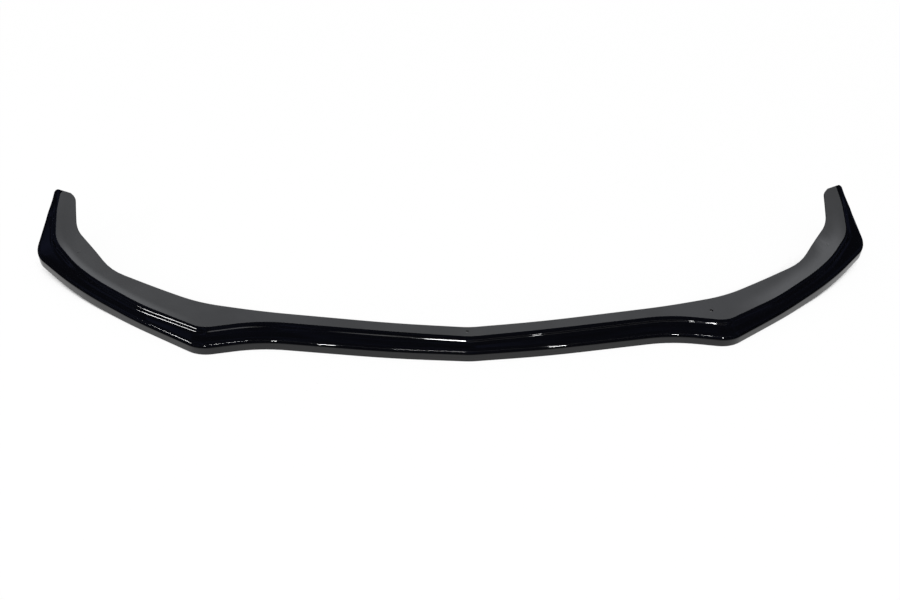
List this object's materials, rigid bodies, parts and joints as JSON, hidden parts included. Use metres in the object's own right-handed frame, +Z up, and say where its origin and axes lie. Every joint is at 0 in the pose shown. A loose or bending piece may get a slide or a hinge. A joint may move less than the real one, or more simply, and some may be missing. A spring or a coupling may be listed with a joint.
{
  "type": "front splitter lip",
  "caption": "Low add-on lip for a car's front bumper: pointed centre, two forward kinks, stepped gloss edge, flat mounting flange and wing ends that rise to the wheel arches.",
  "frame": {"origin": "on the ground, under the middle of the bounding box", "axes": "+X to the right seen from in front of the car, +Y back along the car, +Z up; the point of the lip faces -Y"},
  "size_m": [1.8014, 0.4632, 0.1034],
  "materials": {
    "black_sheet": "high gloss black on the lip, satin on the flange"
  },
  "bodies": {
    "root": {"splitter_lip": "black_sheet"}
  },
  "joints": []
}
